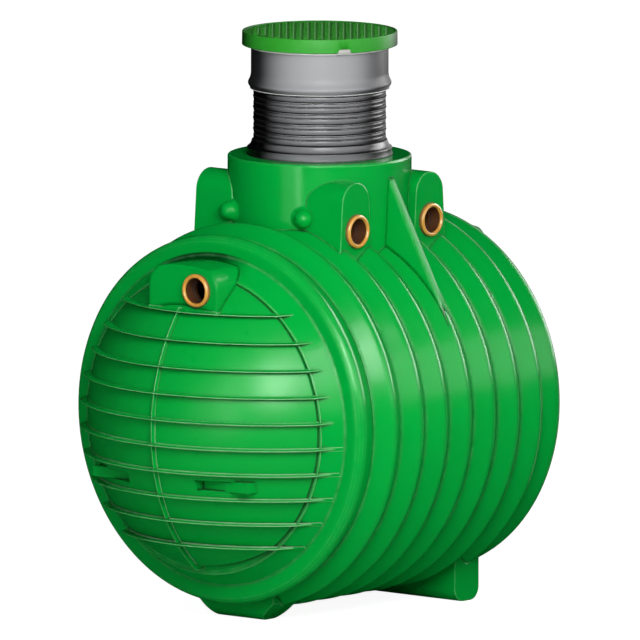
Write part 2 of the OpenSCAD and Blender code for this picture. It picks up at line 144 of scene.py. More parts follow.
def place(tree, group, **inputs):
    """Puts a node group in a material, with its own values."""
    node = tree.nodes.new("ShaderNodeGroup")
    node.node_tree = group
    for key, value in inputs.items():
        socket = node.inputs[key.replace("_", " ")]
        if isinstance(value, bpy.types.NodeSocket):
            tree.links.new(value, socket)
        else:
            socket.default_value = value
    return node


FLOAT, COLOUR, VECTOR = "NodeSocketFloat", "NodeSocketColor", "NodeSocketVector"
print("node helpers ready")

# %% [markdown]
# ## Mould grain
#
# The tank is made in a mould whose steel isn't polished.  The plastic copies
# it: a soft waviness a few centimetres long, and a fine orange peel on top.
# Both are noise in three dimensions, so they need no unwrapping.  The group
# gives a height in metres for a Bump node, and a mask that makes gloss uneven.

# %% Mould grain group
grain_group, g_in, g_out = new_group(
    "mould_grain",
    {"Peel size": (FLOAT, 0.004), "Peel height": (FLOAT, 0.00006),
     "Wave size": (FLOAT, 0.09), "Wave height": (FLOAT, 0.0006)},
    {"Height": FLOAT, "Mask": FLOAT},
)
coords = add(grain_group, "ShaderNodeTexCoord")


def noise_of_size(tree, place_in, size, detail):
    """Noise whose grains are about size metres across."""
    per_metre = add(tree, "ShaderNodeMath", {0: 1.0, 1: size}, operation="DIVIDE")
    return add(tree, "ShaderNodeTexNoise",
               {"Vector": place_in, "Scale": per_metre.outputs[0], "Detail": detail})


peel = noise_of_size(grain_group, coords.outputs["Object"], g_in.outputs["Peel size"], 2.0)
wave = noise_of_size(grain_group, coords.outputs["Object"], g_in.outputs["Wave size"], 1.0)
peel_up = add(grain_group, "ShaderNodeMath",
              {0: peel.outputs[0], 1: g_in.outputs["Peel height"]}, operation="MULTIPLY")
height = add(grain_group, "ShaderNodeMath",
             {0: wave.outputs[0], 1: g_in.outputs["Wave height"], 2: peel_up.outputs[0]},
             operation="MULTIPLY_ADD")
mask = add(grain_group, "ShaderNodeMath",
           {0: peel.outputs[0], 1: wave.outputs[0]}, operation="MULTIPLY")
grain_group.links.new(height.outputs[0], g_out.inputs["Height"])
grain_group.links.new(mask.outputs[0], g_out.inputs["Mask"])
print("group", grain_group.name, "made")

# %% [markdown]
# ## Colour drift
#
# Pigment never mixes perfectly.  Large soft clouds make the same green a
# little lighter here and a little darker there.  The amount stays small, or
# the plastic would look dirty.

# %% Colour drift group
drift_group, d_in, d_out = new_group(
    "colour_drift",
    {"Color": (COLOUR, None), "Cloud size": (FLOAT, 0.5), "Amount": (FLOAT, 0.06)},
    {"Color": COLOUR},
)
drift_coords = add(drift_group, "ShaderNodeTexCoord")
cloud = noise_of_size(drift_group, drift_coords.outputs["Object"], d_in.outputs["Cloud size"], 3.0)
lowest = add(drift_group, "ShaderNodeMath",
             {0: 1.0, 1: d_in.outputs["Amount"]}, operation="SUBTRACT")
highest = add(drift_group, "ShaderNodeMath",
              {0: 1.0, 1: d_in.outputs["Amount"]}, operation="ADD")
level = add(drift_group, "ShaderNodeMapRange",
            {"Value": cloud.outputs[0], "From Min": 0.25, "From Max": 0.75,
             "To Min": lowest.outputs[0], "To Max": highest.outputs[0]})
tinted = add(drift_group, "ShaderNodeVectorMath",
             {0: d_in.outputs["Color"], "Scale": level.outputs[0]}, operation="SCALE")
drift_group.links.new(tinted.outputs[0], d_out.inputs["Color"])
print("group", drift_group.name, "made")

# %% [markdown]
# ## Rubbed edges and painted highlights
#
# Where a tank is dragged and strapped, its outer edges get paler, and the same
# pale colour along edges also paints the highlights that rounded crests and
# corners catch.  A Bevel node tells how far the rounded normal departs from the
# true one, which is large only close to an edge.  Noise breaks the line up.

# %% Rubbed edge and painted highlight group
MATCH_ON_FLAT, MATCH_AT_EDGE = 0.995, 0.90
PATCH_LOW, PATCH_HIGH = 0.35, 0.65
wear_and_highlight_group, e_in, e_out = new_group(
    "rubbed_edge_and_highlight",
    {"Width": (FLOAT, 0.008), "Amount": (FLOAT, 0.5),
     "Patch size": (FLOAT, 0.05), "Least": (FLOAT, 0.3)},
    {"Mask": FLOAT, "Normal": VECTOR},
)
rounded = add(wear_and_highlight_group, "ShaderNodeBevel", {"Radius": e_in.outputs["Width"]}, samples=4)
true_normal = add(wear_and_highlight_group, "ShaderNodeNewGeometry")
match = add(wear_and_highlight_group, "ShaderNodeVectorMath",
            {0: rounded.outputs[0], 1: true_normal.outputs["Normal"]}, operation="DOT_PRODUCT")
departs = add(wear_and_highlight_group, "ShaderNodeMapRange",
              {"Value": match.outputs["Value"],
               "From Min": MATCH_ON_FLAT, "From Max": MATCH_AT_EDGE,
               "To Min": 0.0, "To Max": 1.0})
edge_coords = add(wear_and_highlight_group, "ShaderNodeTexCoord")
patches = noise_of_size(wear_and_highlight_group, edge_coords.outputs["Object"], e_in.outputs["Patch size"], 4.0)
broken = add(wear_and_highlight_group, "ShaderNodeMapRange",
             {"Value": patches.outputs[0], "From Min": PATCH_LOW, "From Max": PATCH_HIGH,
              "To Min": e_in.outputs["Least"], "To Max": 1.0})
wear_and_highlight_at_edge = add(wear_and_highlight_group, "ShaderNodeMath", {0: departs.outputs[0], 1: broken.outputs[0]},
           operation="MULTIPLY")
wear_and_highlight_by = add(wear_and_highlight_group, "ShaderNodeMath", {0: wear_and_highlight_at_edge.outputs[0], 1: e_in.outputs["Amount"]},
              operation="MULTIPLY", use_clamp=True)
wear_and_highlight_group.links.new(wear_and_highlight_by.outputs[0], e_out.inputs["Mask"])
wear_and_highlight_group.links.new(rounded.outputs[0], e_out.inputs["Normal"])
print("group", wear_and_highlight_group.name, "made")


# %% [markdown]
# ## Painted shade in creases
#
# Inside a sharp corner less light gets in than anywhere else, and that shade
# is painted into the colour.  An Ambient Occlusion node measures how open a
# place is within a few centimetres.  A map range turns that into a mask that
# is zero on open skin and one deep in a crease.

# %% Painted crease shade group
OPEN_SKIN, DEEP_CREASE = 0.92, 0.55
crease_shade_group, c_in, c_out = new_group(
    "painted_crease_shade",
    {"Reach": (FLOAT, 0.03), "Amount": (FLOAT, 0.6)},
    {"Mask": FLOAT},
)
openness = add(crease_shade_group, "ShaderNodeAmbientOcclusion",
               {"Distance": c_in.outputs["Reach"]}, samples=8)
closed = add(crease_shade_group, "ShaderNodeMapRange",
             {"Value": openness.outputs["AO"], "From Min": OPEN_SKIN, "From Max": DEEP_CREASE,
              "To Min": 0.0, "To Max": 1.0})
crease_by = add(crease_shade_group, "ShaderNodeMath", {0: closed.outputs[0], 1: c_in.outputs["Amount"]},
                operation="MULTIPLY", use_clamp=True)
crease_shade_group.links.new(crease_by.outputs[0], c_out.inputs["Mask"])
print("group", crease_shade_group.name, "made")


# %% [markdown]
# ## Painted shadow over the housing
#
# On each domed end the face of the rim falls back round the lip, and above the
# housing that hollow lies in shadow, which is painted into the colour as a
# dark crescent.  A dark patch could be painted there by hand, but a rule is
# easier to move.  The mask is a ring between two radii, cut off softly to the
# left, to the right and downwards, so that a crescent over the housing is left.

# %% Lip shade group
AXIS_HEIGHT = sum(c[2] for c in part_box("barrel_shell")) / 2
SHADE_INNER, SHADE_OUTER, SHADE_SOFT = 0.674, 0.736, 0.006
SHADE_LEFT, SHADE_RIGHT, SHADE_ENDS, SHADE_FROM = -0.30, 0.12, 0.10, 0.45
shade_group, s_in, s_out = new_group("lip_shade", {"Amount": (FLOAT, 0.7)}, {"Mask": FLOAT})
shade_coords = add(shade_group, "ShaderNodeTexCoord")
from_axis = add(shade_group, "ShaderNodeVectorMath",
                {0: shade_coords.outputs["Object"], 1: (0, 0, AXIS_HEIGHT)}, operation="SUBTRACT")
flat = add(shade_group, "ShaderNodeVectorMath",
           {0: from_axis.outputs[0], 1: (1, 0, 1)}, operation="MULTIPLY")
off_axis = add(shade_group, "ShaderNodeVectorMath", {0: flat.outputs[0]}, operation="LENGTH")
axes = add(shade_group, "ShaderNodeSeparateXYZ", {0: from_axis.outputs[0]})


def shade_step(value, start, end):
    """Rises softly from 0 at start to 1 at end; end may be the smaller of the two."""
    return add(shade_group, "ShaderNodeMapRange",
               {"Value": value, "From Min": start, "From Max": end},
               interpolation_type="SMOOTHSTEP").outputs[0]


from_axis_to_here = off_axis.outputs["Value"]
crescent = s_in.outputs["Amount"]
for limit in (
    shade_step(from_axis_to_here, SHADE_INNER - SHADE_SOFT, SHADE_INNER + SHADE_SOFT),
    shade_step(from_axis_to_here, SHADE_OUTER + SHADE_SOFT, SHADE_OUTER),
    shade_step(axes.outputs["X"], SHADE_LEFT - SHADE_ENDS, SHADE_LEFT + SHADE_ENDS),
    shade_step(axes.outputs["X"], SHADE_RIGHT + SHADE_ENDS, SHADE_RIGHT - SHADE_ENDS),
    shade_step(axes.outputs["Z"], SHADE_FROM, SHADE_FROM + SHADE_ENDS),
):
    crescent = add(shade_group, "ShaderNodeMath", {0: crescent, 1: limit},
                   operation="MULTIPLY").outputs[0]
shade_group.links.new(crescent, s_out.inputs["Mask"])
print("group", shade_group.name, "made")


# %% [markdown]
# ## One recipe for every moulded plastic
#
# All the plastics here are the same graph with other numbers: a base colour
# that drifts, painted shade in creases, edges that go paler from wear and from
# painted highlight, on some a painted shadow over the housing and painted shade
# where the surface turns away from the eye, grain in the normal and in the
# roughness.  The shader itself stays in the material, and what is constant is
# typed into its sockets.


# %% Moulded plastic
CREASE_DULLS = 0.7
GRAIN_LOW, GRAIN_HIGH, GLOSS_SPREAD = 0.1, 0.45, 0.04


def mixed(tree, mask, under, over):
    """The colour under where mask is 0, and the colour over where it is 1."""
    return add(tree, "ShaderNodeMix", {"Factor": mask, 6: under, 7: over},
               data_type="RGBA").outputs[2]


def moulded_plastic(name, colour, wear_and_highlight_colour, roughness, edge_width, edge_amount,
                    peel_size, peel_height, wave_height=0.0, drift=0.05, gloss=0.5,
                    painted_shade_colour=None, crease_reach=0.03, crease_amount=0.6,
                    painted_side_shade_colour=None, side_shade_range=(0.3, 0.75), least_wear_and_highlight=0.3,
                    lip_shade=0.0):
    """A node material for one kind of moulded plastic."""
    material = bpy.data.materials.new(name)
    material.use_nodes = True
    tree = material.node_tree
    shader = tree.nodes["Principled BSDF"]
    grain = place(tree, grain_group, Peel_size=peel_size, Peel_height=peel_height,
                  Wave_height=wave_height)
    edge = place(tree, wear_and_highlight_group, Width=edge_width, Amount=edge_amount, Least=least_wear_and_highlight)
    drifting = place(tree, drift_group, Color=colour, Amount=drift)
    base = drifting.outputs["Color"]
    crease = None
    # Painted shade: in creases the colour is mixed towards the darker painted shade colour, and the
    # gloss dulls there.
    if painted_shade_colour:
        crease = place(tree, crease_shade_group, Reach=crease_reach, Amount=crease_amount)
        base = mixed(tree, crease.outputs["Mask"], base, painted_shade_colour)
    # Painted shadow: a dark crescent over the housing, in the same painted shade colour.
    if lip_shade:
        shade = place(tree, shade_group, Amount=lip_shade)
        base = mixed(tree, shade.outputs["Mask"], base, painted_shade_colour)
    # Edges go paler, partly from wear and partly as painted highlight.
    base = mixed(tree, edge.outputs["Mask"], base, wear_and_highlight_colour)
    # Painted shade: the colour darkens where the surface turns away from the eye.
    if painted_side_shade_colour:
        facing = add(tree, "ShaderNodeLayerWeight", {"Blend": 0.5})
        away = add(tree, "ShaderNodeMapRange",
                   {"Value": facing.outputs["Facing"],
                    "From Min": side_shade_range[0], "From Max": side_shade_range[1]},
                   interpolation_type="SMOOTHSTEP")
        base = mixed(tree, away.outputs[0], base, painted_side_shade_colour)
    rough = add(tree, "ShaderNodeMapRange",
                {"Value": grain.outputs["Mask"], "From Min": GRAIN_LOW, "From Max": GRAIN_HIGH,
                 "To Min": roughness - GLOSS_SPREAD, "To Max": roughness + GLOSS_SPREAD})
    if crease:
        rough = add(tree, "ShaderNodeMath",
                    {0: crease.outputs["Mask"], 1: CREASE_DULLS, 2: rough.outputs[0]},
                    operation="MULTIPLY_ADD", use_clamp=True)
    bump = add(tree, "ShaderNodeBump",
               {"Height": grain.outputs["Height"], "Normal": edge.outputs["Normal"],
                "Distance": 1.0, "Strength": 1.0})
    tree.links.new(base, shader.inputs["Base Color"])
    tree.links.new(rough.outputs[0], shader.inputs["Roughness"])
    tree.links.new(bump.outputs[0], shader.inputs["Normal"])
    shader.inputs["Specular IOR Level"].default_value = gloss
    print("material", name, "made")
    return material


# %% The plastics of the tank
GREEN, GREEN_WEAR_AND_HIGHLIGHT, GREEN_PAINTED_SHADE = srgb(0, 158, 57), srgb(120, 214, 140), srgb(0, 62, 20)
GREEN_RECIPE = {"peel_size": 0.004, "peel_height": 0.00002, "painted_shade_colour": GREEN_PAINTED_SHADE}
barrel_green = moulded_plastic(
    "barrel_green", GREEN, GREEN_WEAR_AND_HIGHLIGHT, roughness=0.20, edge_width=0.020, edge_amount=0.35,
    wave_height=0.0002, crease_reach=0.022, crease_amount=1.0, gloss=0.16, lip_shade=1.0,
    **GREEN_RECIPE)
moulded_green = moulded_plastic(
    "moulded_green", GREEN, GREEN_WEAR_AND_HIGHLIGHT, roughness=0.20, edge_width=0.008, edge_amount=0.9,
    wave_height=0.0003, crease_reach=0.02, crease_amount=0.2, gloss=0.16, **GREEN_RECIPE)
dome_green = moulded_plastic(
    "dome_green", GREEN, GREEN_WEAR_AND_HIGHLIGHT, roughness=0.31, edge_width=0.004, edge_amount=0.2,
    wave_height=0.0002, crease_reach=0.014, crease_amount=0.6, gloss=0.16, **GREEN_RECIPE)
pad_green = moulded_plastic(
    "pad_green", GREEN, GREEN_WEAR_AND_HIGHLIGHT, roughness=0.36, edge_width=0.004, edge_amount=0.0,
    crease_reach=0.014, crease_amount=0.9, gloss=0.1, **GREEN_RECIPE)
soft_green = moulded_plastic(
    "soft_green", GREEN, GREEN_WEAR_AND_HIGHLIGHT, roughness=0.24, edge_width=0.020, edge_amount=0.0,
    wave_height=0.0003, crease_reach=0.02, crease_amount=0.0, gloss=0.1, **GREEN_RECIPE)
# On fins, spines and lip beads the pale edge colour is a painted highlight, almost unbroken along
# their crests.
fin_green = moulded_plastic(
    "fin_green", GREEN, srgb(205, 250, 205), roughness=0.25, edge_width=0.003, edge_amount=1.0,
    crease_reach=0.010, crease_amount=0.6, gloss=0.16, least_wear_and_highlight=0.85, **GREEN_RECIPE)
lid_green = moulded_plastic(
    "lid_green", srgb(44, 148, 40), srgb(120, 205, 100), roughness=0.42,
    edge_width=0.003, edge_amount=0.8, peel_size=0.002, peel_height=0.00004, gloss=0.12,
    painted_shade_colour=srgb(0, 70, 18), crease_reach=0.02,
    # Painted shade: the skirt goes dark where it turns away from the eye.
    painted_side_shade_colour=srgb(18, 60, 18), side_shade_range=(0.4, 0.95))
tread_green = moulded_plastic(
    "tread_green", srgb(50, 152, 44), srgb(130, 210, 100), roughness=0.42,
    edge_width=0.003, edge_amount=0.5, peel_size=0.002, peel_height=0.00004, gloss=0.2,
    painted_shade_colour=srgb(10, 84, 20), crease_reach=0.012, crease_amount=0.6)
riser_black = moulded_plastic(
    "riser_black", srgb(112, 112, 115), srgb(240, 240, 243), roughness=0.28,
    # The pale edge colour paints highlights along the crests of the waves.
    edge_width=0.0018, edge_amount=1.0, peel_size=0.002, peel_height=0.00001, gloss=0.22,
    painted_shade_colour=srgb(14, 14, 16), crease_reach=0.012, crease_amount=0.95,
    # The pipe is black, but its base colour is grey and darkens to near black where the pipe turns
    # away from the eye: painted light on its front, painted shade at its sides.
    painted_side_shade_colour=srgb(6, 6, 6), side_shade_range=(0.06, 0.46))
sleeve_grey = moulded_plastic(
    "sleeve_grey", srgb(150, 151, 153), srgb(205, 206, 208), roughness=0.4,
    edge_width=0.003, edge_amount=0.3, peel_size=0.002, peel_height=0.00001, drift=0.02, gloss=0.12,
    painted_shade_colour=srgb(90, 92, 96), crease_reach=0.012, crease_amount=0.4,
    # Painted shade: the grey goes dark where the sleeve turns away from the eye.
    painted_side_shade_colour=srgb(40, 40, 42), side_shade_range=(0.05, 0.56))
socket_orange = moulded_plastic(
    "socket_orange", srgb(212, 152, 62), srgb(246, 216, 150), roughness=0.28,
    edge_width=0.0025, edge_amount=0.8, peel_size=0.002, peel_height=0.00002, gloss=0.5,
    painted_shade_colour=srgb(84, 44, 10), crease_reach=0.035, crease_amount=0.95)
# Painted shade: the dark brown that lines the bore.
socket_bore_shade = moulded_plastic(
    "socket_bore_shade", srgb(84, 46, 14), srgb(120, 70, 26), roughness=0.45,
    edge_width=0.0025, edge_amount=0.2, peel_size=0.002, peel_height=0.00002, gloss=0.3,
    painted_shade_colour=srgb(20, 10, 4), crease_reach=0.06, crease_amount=0.95)
catch_grey = moulded_plastic(
    "catch_grey", srgb(165, 165, 158), srgb(210, 210, 205), roughness=0.4,
    edge_width=0.002, edge_amount=0.5, peel_size=0.002, peel_height=0.00002)

# %% Give every node of the frame its finish
ODD_NODES = {
    "barrel_shell": barrel_green, "front_rim": barrel_green, "rear_rim": barrel_green,
    "front_dome": dome_green, "rear_dome": dome_green,
    "front_pads": pad_green, "rear_pads": pad_green,
    "right_gusset": soft_green, "left_gusset": soft_green,
    "inlet_housing": soft_green, "outlet_housing": soft_green,
    "riser_tube": riser_black, "riser_collar": riser_black,
    "sleeve_tube": sleeve_grey, "sleeve_bead": sleeve_grey,
    "lid_cover": lid_green, "lid_catch": catch_grey,
}
SOCKET_ENDING = "_socket"


def finish_of(node_name):
    """The finish of a node: sockets are orange, some are listed, the rest is green."""
    if node_name.endswith(SOCKET_ENDING):
        return socket_orange
    return ODD_NODES.get(node_name, moulded_green)


for node_name, node in nodes.items():
    node.data.materials.clear()
    node.data.materials.append(finish_of(node_name))
print(len(nodes), "nodes of the frame have their finish")

# %% [markdown]
# ## How the new pieces are made
#
# Most small parts here are either turned, like a pot on a wheel, or stand on
# the domed wall like a rib.  A turned part is an outline of radius and height
# that is copied round an axis.  Sharp corners of an outline are replaced by
# short arcs first, because moulded plastic has no sharp corners.


# %% Outlines and turned parts
def rounded_outline(corners, steps=4):
    """Replaces each (radius, height, rounding) corner of a closed outline by an arc."""
    outline = []
    count = len(corners)
    for i, (r, z, rounding) in enumerate(corners):
        corner = Vector((r, z))
        before = Vector(corners[i - 1][:2]) - corner
        after = Vector(corners[(i + 1) % count][:2]) - corner
        if rounding <= 0:
            outline.append(corner)
            continue
        reach = min(rounding, before.length / 2, after.length / 2)
        start, end = corner + before.normalized() * reach, corner + after.normalized() * reach
        for k in range(steps + 1):
            t = k / steps
            outline.append(start * (1 - t) ** 2 + corner * 2 * t * (1 - t) + end * t ** 2)
    return outline


def mesh_object(name, vertices, faces, material, body, slot, sharp_angle=40):
    """Makes a mesh piece with smooth faces, its finish, and the body it moves with."""
    mesh = bpy.data.meshes.new(name)
    mesh.from_pydata(vertices, [], faces)
    bm = bmesh.new()
    bm.from_mesh(mesh)
    bmesh.ops.remove_doubles(bm, verts=bm.verts, dist=1e-6)
    bmesh.ops.recalc_face_normals(bm, faces=bm.faces)
    bm.to_mesh(mesh)
    bm.free()
    mesh.polygons.foreach_set("use_smooth", [True] * len(mesh.polygons))
    mesh.set_sharp_from_angle(angle=math.radians(sharp_angle))
    mesh.materials.append(material)
    piece = bpy.data.objects.new(name, mesh)
    scene.collection.objects.link(piece)
    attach(piece, body)
    return piece


def turned(outline, place_at, segments=128):
    """Vertices and faces of a closed outline turned round the Z axis of place_at."""
    count = len(outline)
    vertices = [
        place_at @ Vector((r * math.cos(a), r * math.sin(a), z))
        for a in (2 * math.pi * k / segments for k in range(segments))
        for r, z in outline
    ]
    faces = [
        (k * count + i, k * count + (i + 1) % count,
         (k + 1) % segments * count + (i + 1) % count, (k + 1) % segments * count + i)
        for k in range(segments) for i in range(count)
    ]
    return vertices, faces


print("outline and turning tools ready")

# %% [markdown]
# ## Pipe sockets
#
# Each port ends in a socket of orange-brown drain plastic.  From outside in
# it has a rounded collar against the housing, a flared mouth, a bore as wide
# as the pipe, and a step where the pipe stops.  One outline serves all six,
# placed by the centre of each socket's box in the frame.

# %% Sockets
COLLAR_HEIGHT = 0.022
COLLAR_RADIUS = 0.073
SOCKET_LENGTH = 0.084
PIPE_BORE = 0.0552
THROAT_RADIUS = 0.050
BODY_RADIUS = 0.0622
STEP_DEPTH = 0.062
MOUTH_BEFORE_SHADE = 0.030
BORE_SLACK = 0.0015

socket_outline = rounded_outline([
    (THROAT_RADIUS, COLLAR_HEIGHT - SOCKET_LENGTH, 0.001),
    (BODY_RADIUS, COLLAR_HEIGHT - SOCKET_LENGTH, 0.001),
    (BODY_RADIUS, 0.0, 0.0),
    (COLLAR_RADIUS, 0.0, 0.001),
    (COLLAR_RADIUS, COLLAR_HEIGHT - 0.004, 0.006),
    (COLLAR_RADIUS - 0.008, COLLAR_HEIGHT, 0.005),
    (PIPE_BORE + 0.005, COLLAR_HEIGHT, 0.003),
    (PIPE_BORE + 0.0005, COLLAR_HEIGHT - 0.007, 0.003),
    (PIPE_BORE, COLLAR_HEIGHT - STEP_DEPTH, 0.0015),
    (THROAT_RADIUS, COLLAR_HEIGHT - STEP_DEPTH, 0.002),
])
INWARD = {"inlet": (0, 1), "outlet": (0, -1), "right": (-1, 0), "left": (1, 0)}
for node_name in [n for n in nodes if n.endswith(SOCKET_ENDING)]:
    side = next(s for s in INWARD if s in node_name)
    inward = Vector((*INWARD[side], 0))
    box_low, box_high = (Vector(c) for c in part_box(node_name))
    middle = (box_low + box_high) / 2
    face = middle + inward * (COLLAR_HEIGHT - SOCKET_LENGTH / 2)
    place_at = Matrix.Translation(face) @ (-inward).to_track_quat("Z", "Y").to_matrix().to_4x4()
    socket = mesh_object(node_name + "_turned", *turned(socket_outline, place_at, 96),
                         socket_orange, "tank", "socket_orange")
    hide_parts(node_name)
    # Painted shade: deeper than the mouth the bore takes a dark brown, the shade inside the hole.
    socket.data.materials.append(socket_bore_shade)
    for polygon in socket.data.polygons:
        depth = (polygon.center - place_at.translation).dot(inward)
        off_axis = (polygon.center - place_at.translation - inward * depth).length
        if off_axis < PIPE_BORE + BORE_SLACK and depth > MOUTH_BEFORE_SHADE - COLLAR_HEIGHT:
            polygon.material_index = 1
    print(node_name, "made at", tuple(round(v, 3) for v in face))

# %% [markdown]
# ## Lid
#
# The lid is a shallow cap with a skirt.  Its top carries rows of small raised
# bars for grip, inside a raised rim, and under it the skirt has a notch for
# the catch, whose place comes from the frame.  A notch could be cut with a
# boolean, but lifting the lower points of the skirt leaves cleaner faces.  The
# bars are drawn once as a tapered block and copied over a grid, leaving out
# those that would run into the rim.

# %% Lid shell
lid_low, lid_high = (Vector(c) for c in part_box("lid_cover"))
LID_RADIUS = (lid_high.x - lid_low.x) / 2
LID_HEIGHT = lid_high.z - lid_low.z
TREAD_HEIGHT = 0.004
RIM_WIDTH = 0.013
SKIRT_WALL = 0.012
NOTCH_HALF_ANGLE = math.radians(4.8)
NOTCH_BELOW_CATCH = 0.006
SKIRT_FROM = 0.3
PLATE = 0.014
lid_at = Matrix.Translation((0, 0, lid_high.z))
lid_outline = rounded_outline([
    (0.0, -TREAD_HEIGHT, 0), (LID_RADIUS - RIM_WIDTH - 0.003, -TREAD_HEIGHT, 0.001),
    (LID_RADIUS - RIM_WIDTH, 0.0, 0.002), (LID_RADIUS - 0.001, 0.0, 0.004),
    (LID_RADIUS, -LID_HEIGHT + 0.002, 0.003), (LID_RADIUS - 0.004, -LID_HEIGHT, 0.002),
    (LID_RADIUS - SKIRT_WALL, -LID_HEIGHT, 0.002),
    (LID_RADIUS - SKIRT_WALL, -PLATE, 0.004), (0.0, -PLATE, 0),
], steps=5)
lid_shell = mesh_object("lid_shell", *turned(lid_outline, lid_at, 192), lid_green,
                        "lid", "lid_green")
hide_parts("lid_cover")
lid_shell.data.materials.append(tread_green)
catch_low, catch_high = (Vector(c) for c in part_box("lid_catch"))
catch_middle = (catch_low + catch_high) / 2
catch_turn = math.atan2(catch_middle.y, catch_middle.x)
notch_top = catch_high.z - NOTCH_BELOW_CATCH
for vertex in lid_shell.data.vertices:
    off_catch = abs(math.atan2(vertex.co.y, vertex.co.x) - catch_turn)
    in_skirt = vertex.co.xy.length > SKIRT_FROM and vertex.co.z < notch_top
    if in_skirt and off_catch < NOTCH_HALF_ANGLE:
        vertex.co.z = notch_top
# Upward faces take tread_green, which has no painted side shade, so that shade stays on the skirt.
for polygon in lid_shell.data.polygons:
    if polygon.normal.z > 0.9:
        polygon.material_index = 1

print("lid shell of radius", round(LID_RADIUS, 3), "with a notch for the catch")

# %% Grip bars on the lid
BAR_ACROSS, BAR_ALONG = 0.019, 0.030
COLUMN_PITCH, ROW_PITCH = 0.031, 0.044
BAR_SLOPE = 0.0035
BAR_LEVELS = ((-TREAD_HEIGHT - 0.001, BAR_SLOPE), (-0.0008, 0.0), (0.0, -0.0015))
CORNERS = ((-1, -1), (1, -1), (1, 1), (-1, 1))
tread_reach = LID_RADIUS - RIM_WIDTH - 0.010
turn = Matrix.Rotation(VIEW_AZIMUTH, 4, "Z")
vertices, faces = [], []
columns, rows = int(tread_reach / COLUMN_PITCH), int(tread_reach / ROW_PITCH) + 1
for column in range(-columns, columns + 1):
    shift = 0.5 * ROW_PITCH if column % 2 else 0.0
    for row in range(-rows, rows + 1):
        x, y = column * COLUMN_PITCH, row * ROW_PITCH + shift
        if math.hypot(abs(x) + BAR_ACROSS / 2, abs(y) + BAR_ALONG / 2) > tread_reach:
            continue
        first = len(vertices)
        for level, grow in BAR_LEVELS:
            half_x, half_y = BAR_ACROSS / 2 + grow, BAR_ALONG / 2 + grow
            for sx, sy in CORNERS:
                vertices.append(lid_at @ turn @ Vector((x + sx * half_x, y + sy * half_y, level)))
        for base in (first, first + 4):
            faces += [(base + k, base + (k + 1) % 4, base + 4 + (k + 1) % 4, base + 4 + k)
                      for k in range(4)]
        faces.append((first + 8, first + 9, first + 10, first + 11))
mesh_object("lid_grip_bars", vertices, faces, tread_green, "lid", "lid_green", sharp_angle=25)
print("lid with", len(vertices) // 12, "grip bars")

# %% [markdown]
# ## Fins and spine on the domed ends
#
# Thin walls in a mould always have rounded tops and a hollow fillet at the
# foot, or the plastic would tear there.  The fins are made from the shape of
# the end itself: a function tells how far the skin stands out at any place,
# and a second one how high the rib's crest is.  A cross-section between the
# two is then swept along the rib, and the rib runs out where they meet.

# %% The skin of a domed end
LIP_RADIUS, LIP_OUT = 0.659, 0.792
DOME_RADIUS = 0.805
DOME_CENTRE = 0.930 - math.sqrt(DOME_RADIUS ** 2 - 0.529 ** 2)
RIM_FACE_RADIUS, RIM_FACE_OUT = 0.723, 0.700
LEDGE_ARC, LEDGE_ARC_UP = 0.792, 0.172
HOUSING_HALF, HOUSING_FACE = 0.192, 0.930
EASE_POWER = 1.6


def skin_out(x, z):
    """How far the skin of an end stands out from the tank's middle, at x and z from its axis."""
    r = math.hypot(x, z)
    if r < LIP_RADIUS:
        on_dome = math.hypot(x, z - LEDGE_ARC_UP) < LEDGE_ARC
        out = DOME_CENTRE + math.sqrt(DOME_RADIUS ** 2 - r * r) if on_dome else LIP_OUT
    elif r < RIM_FACE_RADIUS:
        down = (r - LIP_RADIUS) / (RIM_FACE_RADIUS - LIP_RADIUS)
        out = LIP_OUT + (RIM_FACE_OUT - LIP_OUT) * down
    else:
        out = RIM_FACE_OUT
    if abs(x) < HOUSING_HALF and z > 0:
        out = max(out, HOUSING_FACE)
    return out


def crest_out(x, z, height, full_to, ends_at):
    """How far a rib's crest stands out: level over the dome, then down to the skin."""
    r = math.hypot(x, z)
    if r <= full_to:
        return DOME_CENTRE + math.sqrt((DOME_RADIUS + height) ** 2 - r * r)
    edge = DOME_CENTRE + math.sqrt((DOME_RADIUS + height) ** 2 - full_to ** 2)
    t = min((r - full_to) / (ends_at - full_to), 1.0)
    ease = 1 - (1 - t) ** EASE_POWER
    return edge + (RIM_FACE_OUT - edge) * ease


print("skin of a domed end: dome", DOME_RADIUS, "m, lip", LIP_RADIUS, "m in radius")


# %% Sweep one rib over the skin
RIB_SECTION = [(0.0085, 0.0), (0.0058, 0.02), (0.0042, 0.07), (0.0034, 0.2),
               (0.0028, 0.55), (0.0024, 0.88), (0.0017, 0.965), (0.0006, 1.0)]
SUNK = 0.004


def rib_over_skin(name, line, across, height, full_to, ends_at, scale=1.0, side=-1):
    """A rib along line, a list of (x, z), whose section lies along the direction across."""
    section = [(-a * scale, share) for a, share in RIB_SECTION]
    section += [(a * scale, share) for a, share in reversed(RIB_SECTION)]
    vertices, faces = [], []
    width = len(section) + 2
    for x, z in line:
        crest = crest_out(x, z, height, full_to, ends_at)
        ring = []
        for a, share in section:
            px, pz = x + a * across[0], z + a * across[1]
            foot = skin_out(px, pz)
            ring.append((px, foot + share * max(crest - foot, 0.0), pz))
        for a, _ in (section[-1], section[0]):
            px, pz = x + a * across[0], z + a * across[1]
            ring.append((px, skin_out(px, pz) - SUNK, pz))
        vertices += [(px, side * out, AXIS_HEIGHT + pz) for px, out, pz in ring]
    for i in range(len(line) - 1):
        for k in range(width):
            a, b = i * width + k, i * width + (k + 1) % width
            faces.append((a, b, b + width, a + width))
    last = (len(line) - 1) * width
    faces.append(tuple(range(width)))
    faces.append(tuple(range(last, last + width)))
    return mesh_object(name, vertices, faces, fin_green, "tank", "moulded_green", sharp_angle=55)


